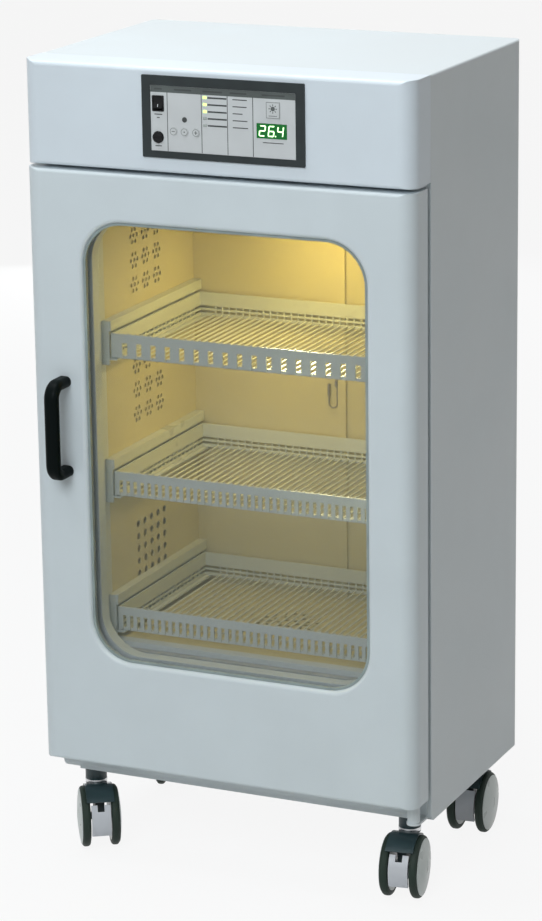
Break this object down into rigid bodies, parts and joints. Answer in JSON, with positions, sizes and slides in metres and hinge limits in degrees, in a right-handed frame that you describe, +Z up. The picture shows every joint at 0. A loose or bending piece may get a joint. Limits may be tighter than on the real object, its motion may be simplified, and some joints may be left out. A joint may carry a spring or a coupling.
{
  "type": "fluid warming cabinet",
  "caption": "Upright warming cabinet on casters with a glazed hinged door, wire baskets in a heated chamber and a control panel in its head.",
  "frame": {"origin": "on the floor, at the middle of the footprint, handle and inlet flange included", "axes": "+Z up, -Y out of the door, +X towards the door's hinges"},
  "size_m": [0.52, 0.41, 1.043],
  "materials": {
    "housing": "satin",
    "head": "satin",
    "door": "satin",
    "liner": "satin",
    "wire": "satin",
    "wool": "matte",
    "steel": "brushed",
    "motor": "satin",
    "lamp": "gloss",
    "board": "matte",
    "panel_frame": "matte",
    "panel_print": "satin",
    "display": "gloss",
    "led": "gloss",
    "black": "satin",
    "key": "satin",
    "pane": "clear",
    "gasket": "matte",
    "seal": "matte",
    "fork": "satin",
    "shield": "satin",
    "wheel": "matte"
  },
  "bodies": {
    "cabinet": {"left_side_panel": "housing", "right_side_panel": "housing", "top_panel": "housing", "back_panel": "housing", "base_tray": "housing", "front_frame": "housing", "control_fascia": "head", "left_duct_wall": "liner", "right_duct_wall": "liner", "chamber_back_wall": "liner", "chamber_ceiling": "liner", "chamber_floor": "liner", "insulation": "wool", "basket_runners": "wire", "heater_element": "steel", "fan_motor": "motor", "temperature_sensor": "steel", "chamber_lamp": "lamp", "instrument_tray": "steel", "power_supply": "motor", "control_board": "board", "panel_bezel": "panel_frame", "panel_plate": "panel_print", "display_window": "display", "indicator_leds": "led", "switch_housing": "black", "fuse_holder": "black", "mains_inlet": "black", "door_hinges": "housing", "caster_stems": "steel"},
    "door": {"door_panel": "door", "door_liner": "door", "glazing_unit": "pane", "window_gasket": "gasket", "door_seal": "seal", "door_handle": "black"},
    "fan": {"fan_impeller": "black"},
    "rocker": {"rocker_switch": "black"},
    "fuse": {"fuse_cap": "black"},
    "minus_key": {"key_minus": "key"},
    "set_key": {"key_set": "key"},
    "plus_key": {"key_plus": "key"},
    "light_key": {"lamp_key": "key"},
    "basket_top": {"top_basket": "wire"},
    "basket_middle": {"middle_basket": "wire"},
    "basket_bottom": {"bottom_basket": "wire"},
    "swivel_fl": {"caster_fork_fl": "fork"},
    "pedal_fl": {"brake_pedal_fl": "shield"},
    "wheel_fl_inner": {"wheel_fl_inner": "wheel"},
    "wheel_fl_outer": {"wheel_fl_outer": "wheel"},
    "swivel_fr": {"caster_fork_fr": "fork"},
    "pedal_fr": {"brake_pedal_fr": "shield"},
    "wheel_fr_inner": {"wheel_fr_inner": "wheel"},
    "wheel_fr_outer": {"wheel_fr_outer": "wheel"},
    "swivel_rl": {"caster_fork_rl": "fork"},
    "wheel_rl_inner": {"wheel_rl_inner": "wheel"},
    "wheel_rl_outer": {"wheel_rl_outer": "wheel"},
    "swivel_rr": {"caster_fork_rr": "fork"},
    "wheel_rr_inner": {"wheel_rr_inner": "wheel"},
    "wheel_rr_outer": {"wheel_rr_outer": "wheel"}
  },
  "joints": [
    {"name": "door_hinge", "type": "hinge", "parent": "cabinet", "child": "door", "pos_m": [0.246, -0.131, 0.5], "axis": [0, 0, 1], "range_deg": [0, 120]},
    {"name": "fan_spin", "type": "hinge", "parent": "cabinet", "child": "fan", "pos_m": [0, 0.038, 0.171], "axis": [0, 0, 1], "continuous": true},
    {"name": "rocker_tilt", "type": "hinge", "parent": "cabinet", "child": "rocker", "pos_m": [-0.07205, -0.1574, 0.99915], "axis": [1, 0, 0], "range_deg": [0, 16]},
    {"name": "fuse_turn", "type": "hinge", "parent": "cabinet", "child": "fuse", "pos_m": [-0.07245, -0.1624, 0.95805], "axis": [0, -1, 0], "range_deg": [0, 60]},
    {"name": "minus_press", "type": "slide", "parent": "cabinet", "child": "minus_key", "axis": [0, 1, 0], "range_m": [0, 0.0005], "stiffness_N_per_m": 1000, "springref_m": -0.0005},
    {"name": "set_press", "type": "slide", "parent": "cabinet", "child": "set_key", "axis": [0, 1, 0], "range_m": [0, 0.0005], "stiffness_N_per_m": 1000, "springref_m": -0.0005},
    {"name": "plus_press", "type": "slide", "parent": "cabinet", "child": "plus_key", "axis": [0, 1, 0], "range_m": [0, 0.0005], "stiffness_N_per_m": 1000, "springref_m": -0.0005},
    {"name": "lamp_press", "type": "slide", "parent": "cabinet", "child": "light_key", "axis": [0, 1, 0], "range_m": [0, 0.0005], "stiffness_N_per_m": 1000, "springref_m": -0.0005},
    {"name": "basket_top_slide", "type": "slide", "parent": "cabinet", "child": "basket_top", "axis": [0, -1, 0], "range_m": [0, 0.015]},
    {"name": "basket_middle_slide", "type": "slide", "parent": "cabinet", "child": "basket_middle", "axis": [0, -1, 0], "range_m": [0, 0.015]},
    {"name": "basket_bottom_slide", "type": "slide", "parent": "cabinet", "child": "basket_bottom", "axis": [0, -1, 0], "range_m": [0, 0.015]},
    {"name": "swivel_fl", "type": "hinge", "parent": "cabinet", "child": "swivel_fl", "pos_m": [-0.223, -0.088, 0.085], "axis": [0, 0, 1], "continuous": true},
    {"name": "brake_fl", "type": "hinge", "parent": "swivel_fl", "child": "pedal_fl", "pos_m": [-0.20884, -0.1098, 0.04], "axis": [0.8387, 0.5446, 0], "range_deg": [0, 10]},
    {"name": "roll_fl_inner", "type": "hinge", "parent": "swivel_fl", "child": "wheel_fl_inner", "pos_m": [-0.20884, -0.1098, 0.04], "axis": [0.8387, 0.5446, 0], "continuous": true},
    {"name": "roll_fl_outer", "type": "hinge", "parent": "swivel_fl", "child": "wheel_fl_outer", "pos_m": [-0.20884, -0.1098, 0.04], "axis": [0.8387, 0.5446, 0], "continuous": true},
    {"name": "swivel_fr", "type": "hinge", "parent": "cabinet", "child": "swivel_fr", "pos_m": [0.223, -0.088, 0.085], "axis": [0, 0, 1], "continuous": true},
    {"name": "brake_fr", "type": "hinge", "parent": "swivel_fr", "child": "pedal_fr", "pos_m": [0.22662, -0.11375, 0.04], "axis": [0.9903, 0.1392, 0], "range_deg": [0, 10]},
    {"name": "roll_fr_inner", "type": "hinge", "parent": "swivel_fr", "child": "wheel_fr_inner", "pos_m": [0.22662, -0.11375, 0.04], "axis": [0.9903, 0.1392, 0], "continuous": true},
    {"name": "roll_fr_outer", "type": "hinge", "parent": "swivel_fr", "child": "wheel_fr_outer", "pos_m": [0.22662, -0.11375, 0.04], "axis": [0.9903, 0.1392, 0], "continuous": true},
    {"name": "swivel_rl", "type": "hinge", "parent": "cabinet", "child": "swivel_rl", "pos_m": [-0.223, 0.153, 0.085], "axis": [0, 0, 1], "continuous": true},
    {"name": "roll_rl_inner", "type": "hinge", "parent": "swivel_rl", "child": "wheel_rl_inner", "pos_m": [-0.21411, 0.12857, 0.04], "axis": [0.9397, 0.342, 0], "continuous": true},
    {"name": "roll_rl_outer", "type": "hinge", "parent": "swivel_rl", "child": "wheel_rl_outer", "pos_m": [-0.21411, 0.12857, 0.04], "axis": [0.9397, 0.342, 0], "continuous": true},
    {"name": "swivel_rr", "type": "hinge", "parent": "cabinet", "child": "swivel_rr", "pos_m": [0.223, 0.153, 0.085], "axis": [0, 0, 1], "continuous": true},
    {"name": "roll_rr_inner", "type": "hinge", "parent": "swivel_rr", "child": "wheel_rr_inner", "pos_m": [0.22481, 0.12706, 0.04], "axis": [0.9976, 0.0698, 0], "continuous": true},
    {"name": "roll_rr_outer", "type": "hinge", "parent": "swivel_rr", "child": "wheel_rr_outer", "pos_m": [0.22481, 0.12706, 0.04], "axis": [0.9976, 0.0698, 0], "continuous": true}
  ]
}
